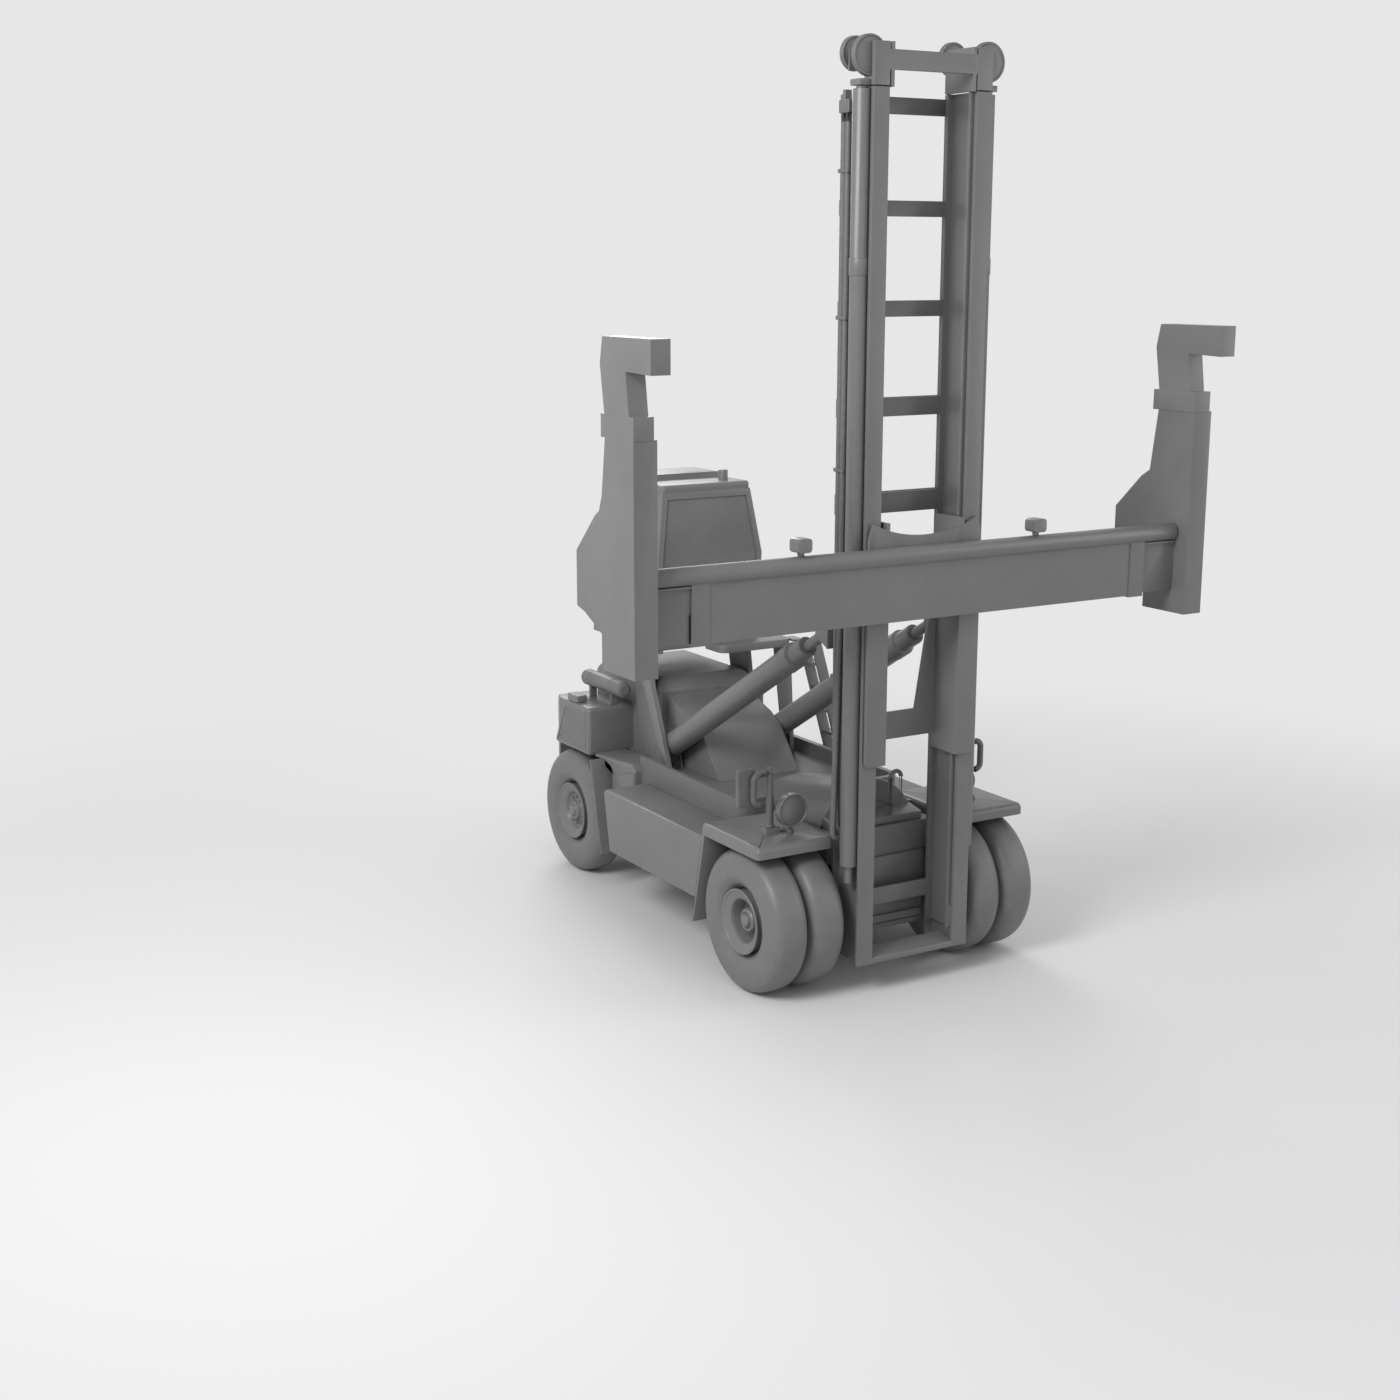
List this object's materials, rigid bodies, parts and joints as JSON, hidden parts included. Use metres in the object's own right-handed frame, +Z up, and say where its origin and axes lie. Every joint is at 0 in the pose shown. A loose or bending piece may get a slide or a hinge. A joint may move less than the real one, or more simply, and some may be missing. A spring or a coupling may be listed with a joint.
{
  "type": "empty container handler",
  "caption": "Mast truck that lifts empty shipping containers by their side corners with a telescopic spreader.",
  "frame": {"origin": "centre of the footprint box at ground level", "axes": "+Z up, -Y the way the machine drives forwards, +X its left-hand side"},
  "size_m": [6.068, 6.298, 8.29],
  "materials": {
    "machine_paint": "semi-gloss grey paint",
    "frame_paint": "satin darker grey paint",
    "rim_paint": "semi-gloss grey paint",
    "bare_steel": "ground steel rod",
    "tyre_rubber": "smooth dark grey rubber",
    "hose_rubber": "dark grey rubber",
    "cab_glass": "smoked grey glass",
    "lamp_body": "grey moulded housing and lens",
    "seat_fabric": "dark grey woven cover",
    "trim_plastic": "black grained plastic"
  },
  "bodies": {
    "chassis": {"chassis_frame": "frame_paint", "front_cover": "machine_paint", "engine_hood": "machine_paint", "engine_block": "frame_paint", "counterweight": "machine_paint", "side_tanks": "machine_paint", "rear_fenders": "machine_paint", "front_fenders": "machine_paint", "headlamps": "lamp_body", "mirrors": "trim_plastic", "front_axle_beam": "frame_paint", "steer_axle_beam": "frame_paint", "tilt_brackets": "frame_paint", "cab_legs": "machine_paint", "cab_platform": "machine_paint", "ladder": "machine_paint", "cab_shell": "machine_paint", "cab_roof": "machine_paint", "cab_glass": "cab_glass", "cab_seat": "seat_fabric", "cab_console": "trim_plastic", "exhaust": "frame_paint"},
    "cab_door": {"cab_door": "machine_paint", "door_glass": "cab_glass"},
    "mast_outer": {"outer_uprights": "machine_paint", "outer_ties": "machine_paint", "lift_barrels": "machine_paint", "mast_hoses": "hose_rubber"},
    "mast_inner": {"inner_uprights": "machine_paint", "inner_ties": "machine_paint", "inner_head": "machine_paint", "lift_rods": "bare_steel", "sheaves": "bare_steel"},
    "carriage": {"carriage_frame": "machine_paint", "spreader_beam": "machine_paint", "beam_lamps": "lamp_body"},
    "arm_left": {"arm_left": "machine_paint", "inner_beam_left": "machine_paint"},
    "arm_right": {"arm_right": "machine_paint", "inner_beam_right": "machine_paint"},
    "tilt_barrel_left": {"tilt_barrel_left": "machine_paint"},
    "tilt_rod_left": {"tilt_rod_left": "bare_steel"},
    "front_wheel_left": {"front_tyres_left": "tyre_rubber", "front_rims_left": "rim_paint"},
    "knuckle_left": {"knuckle_left": "frame_paint"},
    "rear_wheel_left": {"rear_tyre_left": "tyre_rubber", "rear_rim_left": "rim_paint"},
    "tilt_barrel_right": {"tilt_barrel_right": "machine_paint"},
    "tilt_rod_right": {"tilt_rod_right": "bare_steel"},
    "front_wheel_right": {"front_tyres_right": "tyre_rubber", "front_rims_right": "rim_paint"},
    "knuckle_right": {"knuckle_right": "frame_paint"},
    "rear_wheel_right": {"rear_tyre_right": "tyre_rubber", "rear_rim_right": "rim_paint"}
  },
  "joints": [
    {"name": "mast_tilt", "type": "hinge", "parent": "chassis", "child": "mast_outer", "pos_m": [0, -1.872, 0.664], "axis": [1, 0, 0], "range_deg": [-5, 3]},
    {"name": "mast_lift", "type": "slide", "parent": "mast_outer", "child": "mast_inner", "axis": [0, 0, 1], "range_m": [0, 5.5]},
    {"name": "carriage_lift", "type": "slide", "parent": "mast_inner", "child": "carriage", "axis": [0, 0, 1], "range_m": [-1.65, 3.4]},
    {"name": "arm_left_slide", "type": "slide", "parent": "carriage", "child": "arm_left", "axis": [1, 0, 0], "range_m": [0, 3.07]},
    {"name": "arm_right_slide", "type": "slide", "parent": "carriage", "child": "arm_right", "axis": [-1, 0, 0], "range_m": [0, 3.07]},
    {"name": "door_hinge", "type": "hinge", "parent": "chassis", "child": "cab_door", "pos_m": [0.64, 2.094, 3.2], "axis": [0, 0, 1], "range_deg": [0, 100]},
    {"name": "tilt_cylinder_left", "type": "hinge", "parent": "chassis", "child": "tilt_barrel_left", "pos_m": [0.6, 0.909, 1.56], "axis": [1, 0, 0], "range_deg": [-5, 5]},
    {"name": "tilt_rod_left", "type": "slide", "parent": "tilt_barrel_left", "child": "tilt_rod_left", "axis": [0, -0.8623, 0.5063], "range_m": [-0.25, 0.2]},
    {"name": "front_wheel_left", "type": "hinge", "parent": "chassis", "child": "front_wheel_left", "pos_m": [1.08, -1.872, 0.664], "axis": [1, 0, 0], "continuous": true},
    {"name": "steer_left", "type": "hinge", "parent": "chassis", "child": "knuckle_left", "pos_m": [0.78, 2.158, 0.664], "axis": [0, 0, 1], "range_deg": [-60, 60]},
    {"name": "rear_wheel_left", "type": "hinge", "parent": "knuckle_left", "child": "rear_wheel_left", "pos_m": [0.92, 2.158, 0.664], "axis": [1, 0, 0], "continuous": true},
    {"name": "tilt_cylinder_right", "type": "hinge", "parent": "chassis", "child": "tilt_barrel_right", "pos_m": [-0.6, 0.909, 1.56], "axis": [1, 0, 0], "range_deg": [-5, 5]},
    {"name": "tilt_rod_right", "type": "slide", "parent": "tilt_barrel_right", "child": "tilt_rod_right", "axis": [0, -0.8623, 0.5063], "range_m": [-0.25, 0.2]},
    {"name": "front_wheel_right", "type": "hinge", "parent": "chassis", "child": "front_wheel_right", "pos_m": [-1.08, -1.872, 0.664], "axis": [1, 0, 0], "continuous": true},
    {"name": "steer_right", "type": "hinge", "parent": "chassis", "child": "knuckle_right", "pos_m": [-0.78, 2.158, 0.664], "axis": [0, 0, 1], "range_deg": [-60, 60]},
    {"name": "rear_wheel_right", "type": "hinge", "parent": "knuckle_right", "child": "rear_wheel_right", "pos_m": [-0.92, 2.158, 0.664], "axis": [1, 0, 0], "continuous": true}
  ],
  "couplings": [
    {"joint": "tilt_cylinder_left", "follows": "mast_tilt", "ratio": 0.41777},
    {"joint": "tilt_rod_left", "follows": "mast_tilt", "m_per_rad": 2.1808},
    {"joint": "tilt_cylinder_right", "follows": "mast_tilt", "ratio": 0.41777},
    {"joint": "tilt_rod_right", "follows": "mast_tilt", "m_per_rad": 2.1808},
    {"joint": "steer_right", "follows": "steer_left", "ratio": 1},
    {"joint": "arm_right_slide", "follows": "arm_left_slide", "ratio": 1}
  ]
}
